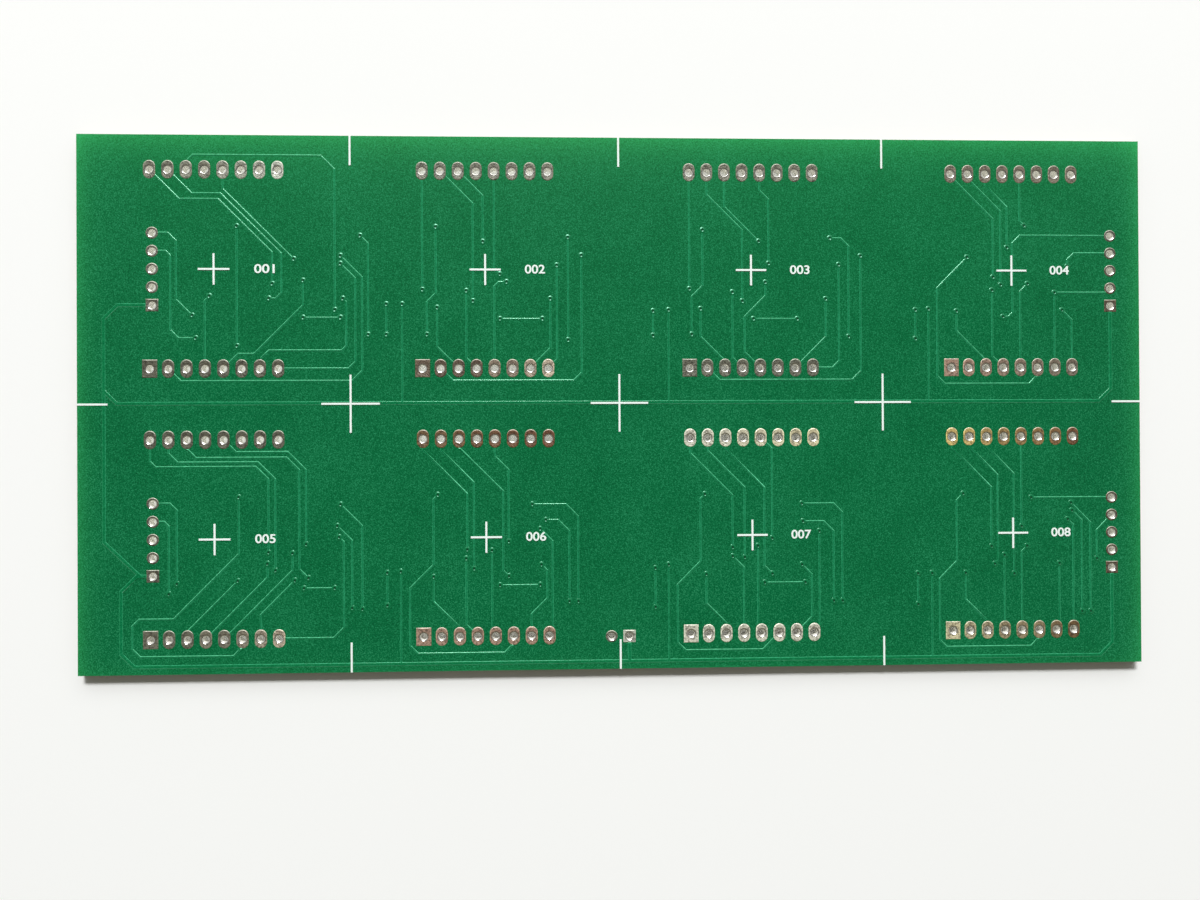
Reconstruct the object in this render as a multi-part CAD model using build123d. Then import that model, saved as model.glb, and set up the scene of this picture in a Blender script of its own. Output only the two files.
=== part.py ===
from build123d import *
import os
from math import sqrt

# A bare printed circuit board for eight 8 x 8 LED dot-matrix modules, four across and two deep.
# Millimetres, +Z up. The board lies on its back: the side that carries the modules faces up, X runs
# along its length and Y across it. The origin is below the board's middle, where its lowest lands rest.

# The modules that the board is laid out for
MODULE_PITCH = 38.0  # one module to the next, both ways
COLUMNS = 4
ROWS = 2
PIN_PITCH = 2.54  # one pin to the next, in the modules' rows and in the headers
PINS_PER_ROW = 8
ROW_SPACING = 28.0  # a module's upper pin row to its lower one

# The board
EDGE_GAP = 0.1  # how far the board stays inside the modules' outline, so that boards can be tiled
BOARD_THICKNESS = 1.6
COPPER = 0.05  # plated copper, and a track with the mask over it, above the board's face
INK = 0.03  # white legend ink, above whatever it is printed on

# Plated holes
HOLE = 1.0  # finished diameter
PLATING = 0.06  # wall of the barrel that lines a hole
OVAL_LAND = (1.7, 2.6)
FIRST_PIN_LAND = (2.1, 2.55)
ROUND_LAND = 1.7
SQUARE_LAND = 1.75
VIA_LAND = 0.8

# Headers: five pins each at the two ends, two pins for power in the middle of the near edge
HEADER_PINS = 5
LEFT_HEADER_X = -8.55  # from the centre of the end module
RIGHT_HEADER_X = 14.6
POWER_PINS = 2
POWER_HEADER_INSET = 4.65  # from the near edge

# Tracks are laid on a grid of a quarter of the pin pitch
STEPS_PER_PITCH = 4
STEPS_PER_ROW_SPACING = 44
TRACK = 0.28
SUPPLY_TRACK = 0.5
MIDDLE_BUS_Y = 0.1
NEAR_BUS_INSET = 1.1  # from the near edge to the middle of the near supply bus
BUS_CORNER = 1.8  # the 45 degree cut where a bus turns

# Legend
LEGEND_LINE = 0.28
MODULE_CROSS = 4.4
CORNER_CROSS = 8.2
EDGE_TICK = 4.2

# Lands on the back for one driver chip and its small parts behind each module
DRIVER_PINS_PER_SIDE = 12
DRIVER_PIN_PITCH = 1.27
DRIVER_ROW_SPACING = 9.4
DRIVER_LAND = (2.0, 0.6)
DRIVER_Y = -2.0  # the chip's middle, from the module's centre
CHIP_LAND = (1.2, 1.4)
CHIP_LAND_GAP = 0.8  # between a small part's two lands
CHIP_PLACE_X = 8.5
CHIP_PLACES_Y = (-3.5, -6.5, -9.5)

BOARD_LENGTH = COLUMNS * MODULE_PITCH - 2 * EDGE_GAP
BOARD_WIDTH = ROWS * MODULE_PITCH - 2 * EDGE_GAP
BACK = COPPER
FRONT = BACK + BOARD_THICKNESS
NEAR_EDGE = -BOARD_WIDTH / 2
NEAR_BUS_Y = NEAR_EDGE + NEAR_BUS_INSET
MODULES = range(1, COLUMNS * ROWS + 1)

# Signal tracks on the front, module by module. A stop is a pin, U and L for the module's upper and
# lower row and H for the header beside it, or a place in grid steps from the module's centre. A track
# that doesn't end on a pin ends on a via.
TRACKS = {
    1: [
        ["U3", (-6, 23.75), (-4.5, 25.25), (23.5, 25.25), (26.5, 22.25), (26.5, -9)],
        ["U1", (-7.5, 15.5), (1, 15.5), (12.75, 3.75), (12.75, -3.25)],
        ["U2", (-4.75, 16.75), (1.5, 16.75), (14.75, 3.5), (14.75, -5.25), (13.5, -6.5), (12, -6.5)],
        ["U5", (2, 17.75), (17.5, 2.25)],
        [(5, 9.5), (5, -17)],
        ["H1", (-10, 8), (-8.25, 6.25), (-8.25, -6.75), (-4.75, -10.25)],
        ["H2", (-10.5, 4), (-9.5, 3), (-9.5, -13.5), (-7.75, -15.25), (-4, -15.25)],
        [(-1, -6), (-2, -7), "L4"],
        [(19.5, -2.5), (19.5, -8), (8.75, -18.75), (5.25, -18.75), "L5"],
        [(19.5, -10.75), (27.75, -10.75)],
        ["L7", (10, -20), (12, -18), (28, -18), (29, -17), (29, -7.25), (28.25, -6.5)],
        ["L8", (29.5, -22), (31, -20.5), (31, -2), (27.75, 1.25)],
        ["L2", (-7.25, -24.75), (30.25, -24.75), (32.5, -22.5), (32.5, -1.75), (27.75, 3)],
    ],
    2: [
        [(-27.75, 7.5), (-26, 5.75), (-26, -14.5)],
        [(-22, -7.75), (-22, -14.5)],
        ["U1", (-14, -4.5)],
        [(-11, 9.5), (-11, -5.25), (-13, -7.25), (-13, -14.5)],
        ["U2", (-2.75, 14.75), (-2.75, -7)],
        ["U3", (-0.5, 16.5), (-0.5, 6.25)],
        ["U5", (2, 0.25), (3.25, -1)],
        [(4.75, -2.75), (3, -2.75), (2, -3.75), "L5"],
        [(-4.25, -4.75), (-4.25, -19.75), "L4"],
        [(-10.75, -8.5), (-10.75, -17.25), "L3"],
        [(3.25, -11), (12.75, -11)],
        [(14.5, -6.5), (14.5, -17.5), "L7"],
        [(16, 1), (16, -20), "L8"],
        [(18.5, 7.25), (18.5, -15.75)],
        [(21.5, 3.25), (21.5, -23), (19.75, -24.75), (-7.25, -24.75), "L2"],
    ],
    3: [
        ["U1", (-14, -4.25)],
        [(-11, 9), (-11, -3.5), (-13.5, -6), (-13.5, -14.5)],
        ["U2", (-10, 17), (-2, 9), (-2, -7)],
        ["U3", (-6, 14.25), (1.75, 6.5)],
        ["U5", (2, 18), (4, 16), (4, 1.5)],
        [(3.25, -2.75), (3.25, -5.75), (-1.5, -10.5), (-1.5, -18.5), "L5"],
        [(-4.25, -5), (-4.25, -19.75), "L4"],
        [(-11.5, -8.75), (-11.5, -15), (-6, -20.5), "L3"],
        [(0.5, -11), (10.5, -11)],
        [(17, -6.5), (17, -15), "L7"],
        [(20, 1.25), (20, -20.5), (18.5, -22), "L8"],
        [(18, 7.25), (20.5, 7.25), (22.25, 5.5), (22.25, -15)],
        [(25, 3.25), (25, -22.75), (23, -24.75), (-7.25, -24.75), "L2"],
        [(-22.25, -9.25), (-22.25, -14.75)],
    ],
    4: [
        ["U1", (-14, 21.5), (-4.25, 11.75), (-4.25, -1.5)],
        ["U2", (-10, 21), (-2.5, 13.5), (-2.5, -3.25)],
        ["U3", (-6, 19.5), (-1, 14.5), (-1, 5.25)],
        ["U5", (2, 11.25), (3, 10.25)],
        ["H1", (2, 8), (0.25, 6.25), (0.25, -9.5), (-0.75, -10.5), (-2, -10.5)],
        ["H2", (14.5, 4), (13, 2.5), (13, 1)],
        ["H4", (22, -5), (10, -5)],
        [(10, -5), "L7"],
        [(11.75, -9), (14, -11.25), "L8"],
        [(-10.25, 3), (-17.25, -4), (-17.25, -24), (-15.5, -25.75), (4, -25.75), (6, -23.75), "L6"],
        [(-12.75, -9.25), (-12.75, -13.75), (-6, -20.5), "L3"],
        [(-4.5, -4.5), (-4.5, -19.5), "L4"],
        [(3.75, -3), (2, -4.75), "L5"],
        [(-22.25, -9), (-22.25, -15.5)],
    ],
    5: [
        ["U1", (-14, 17.25), (-12.75, 16), (9, 16), (11.75, 13.25), (11.75, -3)],
        ["U2", (-10, 19), (-8, 17), (9.5, 17), (13.25, 13.25), (13.25, -7)],
        ["U3", (-6, 20), (-4, 18), (15.75, 18), (18.5, 15.25), (18.5, -6.75), (20.5, -8.75)],
        ["U5", (4.75, 19.25), (16, 19.25), (20, 15.25), (20, -1.25)],
        ["H1", (-9.75, 8), (-8.25, 6.5), (-8.25, -9.75)],
        ["H2", (-11, 4), (-10, 3), (-10, -12)],
        [
            (5.25, 9.25),
            (5.25, -3.25),
            (-9, -17.5),
            (-16.5, -17.5),
            (-18, -19),
            (-18, -24),
            (-16.25, -25.75),
            (4, -25.75),
            (6, -23.75),
            "L6",
        ],
        [(5, -9.25), (-6, -20.25), "L3"],
        [(11.5, -5.5), (11.5, -8.5), "L4"],
        [(17, -3.25), (17, -7), "L5"],
        [(17.5, -9.25), (10, -16.75), "L7"],
        ["L8", (26, -22), (28.25, -19.75), (28.25, -0.75), (27.25, 0.25)],
        [(19.5, -11), (26.25, -11)],
    ],
    6: [
        [(-32.25, 7.5), (-27.5, 2.75), (-27.5, -15.75)],
        [(-33, 2.75), (-29.75, -0.5), (-29.75, -15.5)],
        ["U1", (-14, 19.5), (-4.25, 9.75), (-4.25, -2.75)],
        ["U2", (-10, 19.5), (-2.75, 12.25), (-2.75, -7)],
        ["U3", (-6, 20), (3.75, 10.25), (3.75, -7.5), (5, -8.75)],
        ["U5", (2, 18), (5, 15), (5, -1)],
        [
            (-10.75, 9.5),
            (-11.75, 8.5),
            (-11.75, -6),
            (-17, -11.25),
            (-17, -24),
            (-15.25, -25.75),
            (4, -25.75),
            (6, -23.75),
            "L6",
        ],
        [(-11.75, -8.75), (-11.75, -14.25), (-6, -20), "L3"],
        [(-4.5, -4.75), (-4.5, -19.5), "L4"],
        [(1.25, -3), (1.25, -21.25), "L5"],
        [(3, -10.75), (12, -10.75)],
        [(12.25, -6.25), (13.5, -7.5), (13.5, -13.75), (10, -17.25), "L7"],
        [(12, 1.75), (14.75, -1), (14.75, -21.25), "L8"],
        [(13.25, 3.75), (16, 3.75), (18.5, 1.25), (18.5, -14.5)],
        [(10.25, 7.25), (17.75, 7.25), (20.5, 4.5), (20.5, -14.5)],
        [(-22, -7.75), (-22, -15)],
    ],
    7: [
        ["U1", (-14, 18.5), (-4.5, 9), (-4.5, -2.75)],
        ["U2", (-10, 19), (-1.75, 10.75), (-1.75, -5)],
        ["U3", (-6, 19.5), (2.75, 10.75), (2.75, -7), (4.5, -8.75)],
        ["U5", (4.5, 19.5), (4.5, -0.75)],
        [
            (-10.75, 9.25),
            (-11.75, 8.25),
            (-11.75, -5.75),
            (-17, -11),
            (-17, -24),
            (-15.25, -25.75),
            (2.25, -25.75),
            "L6",
        ],
        [(-10.5, -8.75), (-10.5, -15.25), (-6, -19.75), "L3"],
        [(-4.5, -4.75), (-2, -7.25), "L4"],
        [(1.25, -2.5), (1.25, -21.25), "L5"],
        [(2.75, -10.75), (12, -10.75)],
        [(11.25, -6.75), (13.5, -9), (13.5, -18.5), "L7"],
        [(15.25, 0.75), (15.25, -20.75), "L8"],
        [(11.5, 3), (16.25, 3), (18.5, 0.75), (18.5, -15)],
        [(11.25, 7), (18.5, 7), (20.5, 5), (20.5, -15)],
        [(-22, -7.25), (-22, -16)],
    ],
    8: [
        ["U1", (-14, 19.5), (-5, 10.5), (-5, -3)],
        ["U2", (-10, 19.75), (-3.5, 13.25), (-3.5, -6.25), (-4.25, -7)],
        ["U3", (-6, 19.75), (0.25, 13.5), (0.25, -9.25)],
        ["U5", (2, 1.5)],
        [(3.25, -3), (2, -4.25), "L5"],
        ["H1", (4.25, 8)],
        [
            (-11.5, 9),
            (-13, 7.5),
            (-13, -6.25),
            (-17, -10.25),
            (-17, -24.25),
            (-15.5, -25.75),
            (4, -25.75),
            (6, -23.75),
            "L6",
        ],
        [(-11, -9), (-11, -15), (-6, -20), "L3"],
        [(-2, -5), "L4"],
        [(10.75, -7), (10.75, -21.25), "L7"],
        [(12.75, 3), (14, 1.75), "L8"],
        [(13.75, 5), (16, 2.75), (16, -18)],
        [(13.5, 6.75), (18, 2.25), (18, -18)],
        ["H2", (19.5, 0.5), (19.5, -6)],
        [(-22, -9), (-22, -16)],
    ],
}

# Vias that feed a module's driver from the supply bus below it
SUPPLY_TAPS = {
    2: (-18.5, -7.75),
    3: (-18.75, -9),
    4: (-19.25, -8.75),
    6: (-19, -7.5),
    7: (-19, -6.5),
    8: (-18.75, -9),
}

LEFT_MODULES = {1: "left_upper", 5: "left_lower"}
RIGHT_MODULES = {4: "right_upper", 8: "right_lower"}


# Places on the board


def module_centre(module):
    """Modules 1 to 4 run along the far side and 5 to 8 along the near side, left to right."""
    row, column = divmod(module - 1, COLUMNS)
    return (column - (COLUMNS - 1) / 2) * MODULE_PITCH, ((ROWS - 1) / 2 - row) * MODULE_PITCH


def spot(module, u, v):
    """A place u steps right of and v steps above a module's centre."""
    x, y = module_centre(module)
    return x + u * PIN_PITCH / STEPS_PER_PITCH, y + v * ROW_SPACING / STEPS_PER_ROW_SPACING


def module_pin(module, row, number):
    """Pin 1 to 8, left to right, of a module's upper (+1) or lower (-1) row."""
    x, y = module_centre(module)
    return x + (number - (PINS_PER_ROW + 1) / 2) * PIN_PITCH, y + row * ROW_SPACING / 2


def header_pin(module, number):
    """Pin 1 to 5, top to bottom, of the header beside an end module."""
    x, y = module_centre(module)
    along = LEFT_HEADER_X if module in LEFT_MODULES else RIGHT_HEADER_X
    return x + along, y - (number - (HEADER_PINS + 1) / 2) * PIN_PITCH


def power_pin(number):
    """Pin 1 or 2 of the power header."""
    return (number - (POWER_PINS + 1) / 2) * PIN_PITCH, NEAR_EDGE + POWER_HEADER_INSET


def stop_place(module, stop):
    """Where a stop of a track is: a pin by its name, or a place in grid steps."""
    if not isinstance(stop, str):
        return spot(module, *stop)
    kind, number = stop[0], int(stop[1:])
    if kind == "H":
        return header_pin(module, number)
    return module_pin(module, 1 if kind == "U" else -1, number)


def via_places(module):
    """The vias of a module's tracks, each once."""
    ends = [route[end] for route in TRACKS[module] for end in (0, -1)]
    ends += [SUPPLY_TAPS[module]] if module in SUPPLY_TAPS else []
    return sorted({spot(module, *end) for end in ends if not isinstance(end, str)})


# Plated holes


def octagon_land(width, height):
    """A round or oval land, drawn with eight sides."""
    corner = min(width, height) * (1 - 1 / sqrt(2))
    land = Rectangle(width, height)
    return chamfer(land.vertices(), corner)


def barrel_outline():
    return RegularPolygon(HOLE / 2 + PLATING, 8, major_radius=False, rotation=22.5)


def plated_hole(land):
    """The barrel that lines a hole, with a land on each face of the board."""
    lands = extrude(land, COPPER) + Pos(0, 0, FRONT) * extrude(land, COPPER)
    barrel = Pos(0, 0, BACK) * extrude(barrel_outline(), BOARD_THICKNESS)
    bore = Cylinder(HOLE / 2, FRONT + COPPER, align=(Align.CENTER, Align.CENTER, Align.MIN))
    return lands + barrel - bore


def module_row_lands(row):
    """Land outlines of one pin row: ovals, but for the lower row's first pin."""
    lands = [octagon_land(*OVAL_LAND) for _ in range(PINS_PER_ROW)]
    if row < 0:
        lands[0] = Rectangle(*FIRST_PIN_LAND)
    return lands


def header_lands():
    """Land outlines of a five-pin header, its last pin square."""
    return [octagon_land(ROUND_LAND, ROUND_LAND)] * (HEADER_PINS - 1) + [Rectangle(SQUARE_LAND, SQUARE_LAND)]


def power_lands():
    return [octagon_land(ROUND_LAND, ROUND_LAND), Rectangle(SQUARE_LAND, SQUARE_LAND)]


def footprints():
    """Every row of plated holes: its name, and for each hole its place and the outline of its land."""
    rows = {}
    for module in MODULES:
        for row, name in ((1, "upper"), (-1, "lower")):
            places = [module_pin(module, row, number + 1) for number in range(PINS_PER_ROW)]
            rows[f"module_{module}_{name}_holes"] = list(zip(places, module_row_lands(row)))
    for module, name in {**LEFT_MODULES, **RIGHT_MODULES}.items():
        places = [header_pin(module, number + 1) for number in range(HEADER_PINS)]
        rows[f"{name}_header_holes"] = list(zip(places, header_lands()))
    places = [power_pin(number + 1) for number in range(POWER_PINS)]
    rows["power_header_holes"] = list(zip(places, power_lands()))
    return rows


# The board, the tracks and the legend


def board(rows):
    """The laminate with its green mask, drilled for every plated hole."""
    drill = barrel_outline()
    holes = [Pos(*place) * drill for row in rows.values() for place, _ in row]
    outline = Rectangle(BOARD_LENGTH, BOARD_WIDTH) - holes
    return Pos(0, 0, BACK) * extrude(outline, BOARD_THICKNESS)


def ribbon(places, width):
    """A flat track of one width along straight legs, mitred where it turns."""
    points = [Vector(*place) for place in places]
    across = [(b - a).normalized().rotate(Axis.Z, 90) for a, b in zip(points, points[1:])]
    mitres = [(a + b) * (1 / (1 + a.dot(b))) for a, b in zip(across[:1] + across, across + across[-1:])]
    left = [point + mitre * (width / 2) for point, mitre in zip(points, mitres)]
    right = [point - mitre * (width / 2) for point, mitre in zip(points, mitres)]
    return Polygon(*[(point.X, point.Y) for point in left + right[::-1]], align=None)


def signal_tracks(module):
    """Outlines of a module's own tracks."""
    return [ribbon([stop_place(module, stop) for stop in route], TRACK) for route in TRACKS[module]]


def bus(y, before, after):
    """A supply bus along y, reached from above by the places before it and left upwards to those after."""
    (x0, _), (x1, _) = before[-1], after[0]
    low = [(x0, y + BUS_CORNER), (x0 + BUS_CORNER, y), (x1 - BUS_CORNER, y), (x1, y + BUS_CORNER)]
    return ribbon([*before, *low, *after], SUPPLY_TRACK)


def supply_tracks():
    """Outlines of the wide tracks that join the headers' last pins, and of the taps to the drivers."""
    far_left, far_right, near_left, near_right = (header_pin(module, HEADER_PINS) for module in (1, 4, 5, 8))
    middle = bus(MIDDLE_BUS_Y, [far_left, spot(1, -21, -8), spot(1, -24, -11)], [far_right])
    near = bus(NEAR_BUS_Y, [near_left, spot(5, -17, -8), spot(5, -20.375, -11.375)], [near_right])
    drop = [spot(1, -24, -20), spot(5, -24, -0.5), spot(5, -16.25, -8), near_left]
    power_x, power_y = power_pin(POWER_PINS)
    feed = [(power_x, power_y), (power_x, NEAR_BUS_Y)]
    taps = []
    for module, place in SUPPLY_TAPS.items():
        x, y = spot(module, *place)
        taps.append(ribbon([(x, y), (x, MIDDLE_BUS_Y if module <= COLUMNS else NEAR_BUS_Y)], TRACK))
    return [middle, near, ribbon(drop, SUPPLY_TRACK), ribbon(feed, SUPPLY_TRACK), *taps]


def raised(outlines, lands):
    """Copper on the front face, as far as the lands and vias that it runs into."""
    copper = Sketch() + outlines - lands
    return Pos(0, 0, FRONT) * extrude(copper, COPPER, dir=(0, 0, 1))


def via_outlines(places):
    """The lands of the vias on the front, which the mask covers."""
    return [Pos(*place) * octagon_land(VIA_LAND, VIA_LAND) for place in places]


def cross(size):
    return Rectangle(size, LEGEND_LINE) + Rectangle(LEGEND_LINE, size)


def module_crosses():
    """A small cross printed at the middle of each module's place."""
    return [Pos(*module_centre(module)) * cross(MODULE_CROSS) for module in MODULES]


def corner_marks():
    """Crosses where four modules meet, and ticks where two meet at the board's edge."""
    far, right = BOARD_WIDTH / 2, BOARD_LENGTH / 2
    marks = []
    for column in range(1, COLUMNS):
        x = (column - COLUMNS / 2) * MODULE_PITCH
        marks.append(Pos(x, 0) * cross(CORNER_CROSS))
        for side in (-1, 1):
            marks.append(Pos(x, side * (far - EDGE_TICK / 2)) * Rectangle(LEGEND_LINE, EDGE_TICK))
    marks += [Pos(side * (right - EDGE_TICK / 2), 0) * Rectangle(EDGE_TICK, LEGEND_LINE) for side in (-1, 1)]
    return marks


def printed(marks, copper):
    """Legend ink on the front face, which climbs over the copper below it."""
    return [Pos(0, 0, FRONT) * extrude(mark, COPPER + INK) - copper for mark in marks]


def back_land(size, x, y):
    """A bare land on the back face."""
    return Pos(x, y, 0) * extrude(Rectangle(*size), COPPER)


def driver_lands(module):
    """Two rows of lands for the surface-mounted driver chip behind a module."""
    x, y = module_centre(module)
    lands = []
    for side in (-1, 1):
        for number in range(DRIVER_PINS_PER_SIDE):
            along = (number - (DRIVER_PINS_PER_SIDE - 1) / 2) * DRIVER_PIN_PITCH
            lands.append(back_land(DRIVER_LAND, x + side * DRIVER_ROW_SPACING / 2, y + DRIVER_Y + along))
    return lands


def chip_lands(module):
    """Two lands each for the driver's capacitors and its resistor, in a row beside it."""
    x, y = module_centre(module)
    lands = []
    for place_y in CHIP_PLACES_Y:
        for side in (-1, 1):
            across = side * (CHIP_LAND_GAP + CHIP_LAND[0]) / 2
            lands.append(back_land(CHIP_LAND, x + CHIP_PLACE_X + across, y + place_y))
    return lands


def write(name, solids):
    """One STEP file for a node."""
    export_step(Compound(children=list(solids)), f"parts/{name}.step")


def main():
    os.makedirs("parts", exist_ok=True)
    rows = footprints()
    write("board", board(rows).solids())
    for name, row in rows.items():
        write(name, [Pos(*place) * plated_hole(land) for place, land in row])

    lands = [Pos(*place) * land for row in rows.values() for place, land in row]
    via_lands = via_outlines([place for module in MODULES for place in via_places(module)])
    vias = [Pos(0, 0, FRONT) * extrude(land, COPPER) for land in via_lands]
    write("vias", vias)
    supply = raised(supply_tracks(), lands + via_lands)
    write("supply_tracks", supply.solids())
    signals = {module: raised(signal_tracks(module), lands + via_lands) for module in MODULES}
    for module, tracks in signals.items():
        write(f"module_{module}_tracks", tracks.solids())

    copper = [supply, *signals.values(), *vias]
    write("module_crosses", printed(module_crosses(), copper))
    write("corner_marks", printed(corner_marks(), copper))

    for module in MODULES:
        write(f"driver_{module}_lands", driver_lands(module) + chip_lands(module))


main()
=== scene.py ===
"""Dresses the bare circuit board for eight LED dot-matrix modules in its mask, tin and white legend."""

import math

import bmesh
import bpy
from bpy.props import FloatProperty, FloatVectorProperty, IntProperty, PointerProperty
from mathutils import Matrix, Vector


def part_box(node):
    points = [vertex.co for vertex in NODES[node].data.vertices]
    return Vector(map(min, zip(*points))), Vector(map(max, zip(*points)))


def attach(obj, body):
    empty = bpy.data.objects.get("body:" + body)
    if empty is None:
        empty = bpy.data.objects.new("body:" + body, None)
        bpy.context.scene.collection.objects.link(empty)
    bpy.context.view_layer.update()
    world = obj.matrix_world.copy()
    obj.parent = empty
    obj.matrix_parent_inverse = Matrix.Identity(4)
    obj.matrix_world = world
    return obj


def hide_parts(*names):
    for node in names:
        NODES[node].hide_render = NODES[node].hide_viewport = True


bl_info = {
    "name": "Dot-matrix circuit board",
    "version": (1, 0, 0),
    "blender": (4, 5, 0),
    "location": "3D View > Sidebar > Circuit board",
    "description": "Makes the finish of a bare circuit board for eight LED dot-matrix modules",
    "category": "Object",
}

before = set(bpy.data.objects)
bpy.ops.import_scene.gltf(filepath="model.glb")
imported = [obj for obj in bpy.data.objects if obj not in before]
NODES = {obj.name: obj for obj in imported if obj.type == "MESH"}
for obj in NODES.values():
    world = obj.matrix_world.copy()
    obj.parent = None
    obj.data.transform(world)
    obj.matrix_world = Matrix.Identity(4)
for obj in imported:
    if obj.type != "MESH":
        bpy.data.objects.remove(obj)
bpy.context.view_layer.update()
BODY = "root"
MM = 0.001

MODULES = range(1, 9)
PINS_PER_ROW = 8
HEADER_PINS = 5
POWER_PINS = 2

# The laminate lies between its back and its front face. The back lands under it stand on the floor,
# so that its back is one thickness of copper up.
(_, _, BACK), (HALF_LENGTH, HALF_WIDTH, FRONT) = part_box("board")
COPPER = BACK


def middle(node):
    """The middle of a CAD node's box, seen from above."""
    low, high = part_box(node)
    return Vector(((low[0] + high[0]) / 2, (low[1] + high[1]) / 2))


def module_centre(module):
    """The middle of a module's place, halfway between its two pin rows."""
    upper = middle(f"module_{module}_upper_holes")
    low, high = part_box(f"module_{module}_lower_holes")
    return Vector((upper.x, (upper.y + (low[1] + high[1]) / 2) / 2))


# Tones of the tinned lands, as linear colours. The tin has aged from bright to gold and red-brown.
DARK_TIN = (0.145, 0.103, 0.067)
DULL_TIN = (0.14, 0.141, 0.101)
GREY_TIN = (0.172, 0.178, 0.131)
TIN = (0.212, 0.215, 0.158)
WARM_TIN = (0.24, 0.205, 0.152)
BRIGHT_TIN = (0.6, 0.63, 0.53)
ROSE_TIN = (0.5, 0.33, 0.24)
PALE_ROSE = (0.68, 0.56, 0.42)
CREAM = (0.82, 0.81, 0.66)
PALE_GOLD = (0.8, 0.73, 0.46)
GOLD = (0.8, 0.6, 0.22)
BROWN = (0.22, 0.135, 0.06)
RED_BROWN = (0.2, 0.085, 0.042)

# The tone of a row's first hole and of its last one, and how late the one turns into the other
ROW_TONES = {
    "module_1_upper_holes": (TIN, BRIGHT_TIN, 3.0),
    "module_1_lower_holes": (DULL_TIN, DULL_TIN, 1.0),
    "module_2_upper_holes": (GREY_TIN, TIN, 2.0),
    "module_2_lower_holes": (DARK_TIN, PALE_ROSE, 3.0),
    "module_3_upper_holes": (TIN, TIN, 1.0),
    "module_3_lower_holes": (GREY_TIN, GREY_TIN, 1.0),
    "module_4_upper_holes": (WARM_TIN, WARM_TIN, 1.0),
    "module_4_lower_holes": (ROSE_TIN, WARM_TIN, 1.0),
    "module_5_upper_holes": (DULL_TIN, DULL_TIN, 1.0),
    "module_5_lower_holes": (GREY_TIN, PALE_ROSE, 3.0),
    "module_6_upper_holes": (BROWN, RED_BROWN, 1.0),
    "module_6_lower_holes": (ROSE_TIN, ROSE_TIN, 1.0),
    "module_7_upper_holes": (CREAM, PALE_GOLD, 1.0),
    "module_7_lower_holes": (CREAM, CREAM, 1.0),
    "module_8_upper_holes": (GOLD, RED_BROWN, 0.8),
    "module_8_lower_holes": (PALE_GOLD, BROWN, 0.6),
    "left_upper_header_holes": (GREY_TIN, GREY_TIN, 1.0),
    "left_lower_header_holes": (DULL_TIN, DULL_TIN, 1.0),
    "right_upper_header_holes": (DULL_TIN, DARK_TIN, 1.0),
    "right_lower_header_holes": (DARK_TIN, DARK_TIN, 1.0),
    "power_header_holes": (GREY_TIN, BRIGHT_TIN, 1.0),
}
TONE_SPREAD = 0.12  # how far a hole's tone may stray from its place between the row's two

# Colours that lie over a land's tone: a darker ring round the bore, a painted highlight on the slope of
# its far edge, and bare tin on its lip
DARK_BORE_RING = (0.06, 0.04, 0.03)
PAINTED_RIM_HIGHLIGHT = (0.8, 0.8, 0.68)
BARE_TIN = (0.95, 0.94, 0.88)

# Colours of the mask's light and dark specks, and of the painted shade in its dimple over a via
LIGHT_SPECK = (0.05, 0.42, 0.2)
DARK_SPECK = (0.0, 0.03, 0.01)
VIA_DIMPLE_SHADE = (0.0, 0.06, 0.018)

# The room: its near side, its far side and what is overhead
ROOM_NEAR = (0.16, 0.155, 0.09)
ROOM_FAR = (0.5, 0.51, 0.52)
ROOM_TOP = (0.08, 0.08, 0.07)

# The painted light of the paper under the board is least round this place, and less along the near edge
SHADE_X, SHADE_Y = 30 * MM, -22 * MM
SHADE_INSIDE, SHADE_OUTSIDE = 15 * MM, 70 * MM
SHADE_NEAR, SHADE_FAR = -33 * MM, -20 * MM

# The camera's place and what it looks at, along the board and across it, and the lean of its upright
CAMERA_PLACE = (-7.67 * MM, -7.17 * MM)
CAMERA_AIM = (-2.81 * MM, -6.7 * MM)
CAMERA_LEAN = 0.0052


# Sizes and colours that a user would change


class MaskSettings(bpy.types.PropertyGroup):
    """The green solder mask and the laminate below it."""

    deep: FloatVectorProperty(
        name="Mask",
        description="Colour of the mask on bare laminate",
        subtype="COLOR",
        default=(0.0005, 0.142, 0.044),
    )
    # Painted light: the lit colour stands for light that comes up through the laminate's edges
    lit: FloatVectorProperty(
        name="Lit edge",
        description="Colour of the mask where light comes up through the laminate's edges",
        subtype="COLOR",
        default=(0.03, 0.38, 0.1),
    )
    laminate: FloatVectorProperty(
        name="Laminate",
        description="Colour of the sawn edge of the glass laminate",
        subtype="COLOR",
        default=(0.3, 0.25, 0.14),
    )
    edge_glow: FloatProperty(
        name="Edge glow",
        description="How far in from an edge the light fades to a third",
        unit="LENGTH",
        default=1.3 * MM,
    )


class TrackSettings(bpy.types.PropertyGroup):
    """The mask where it covers the copper."""

    top: FloatVectorProperty(
        name="Over copper",
        description="Colour of the mask on a track",
        subtype="COLOR",
        default=(0.002, 0.17, 0.055),
    )
    shoulder: FloatVectorProperty(
        name="Shoulder",
        description="Colour of the mask where it runs thin over a track's edge",
        subtype="COLOR",
        default=(0.045, 0.44, 0.215),
    )
    # Painted highlight: a lighter shoulder on the side of a track where the light falls
    lit_shoulder: FloatVectorProperty(
        name="Lit shoulder",
        description="Colour of a narrow track's far shoulder and of a wide track's near one",
        subtype="COLOR",
        default=(0.18, 0.8, 0.45),
    )
    slope: FloatProperty(
        name="Slope",
        description="Width of the slope where the mask rises over a narrow track's edge",
        unit="LENGTH",
        default=0.135 * MM,
    )
    wide_slope: FloatProperty(
        name="Wide track's slope",
        description="Width of the slope where the mask rises over a wide track's edge",
        unit="LENGTH",
        default=0.13 * MM,
    )


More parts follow.
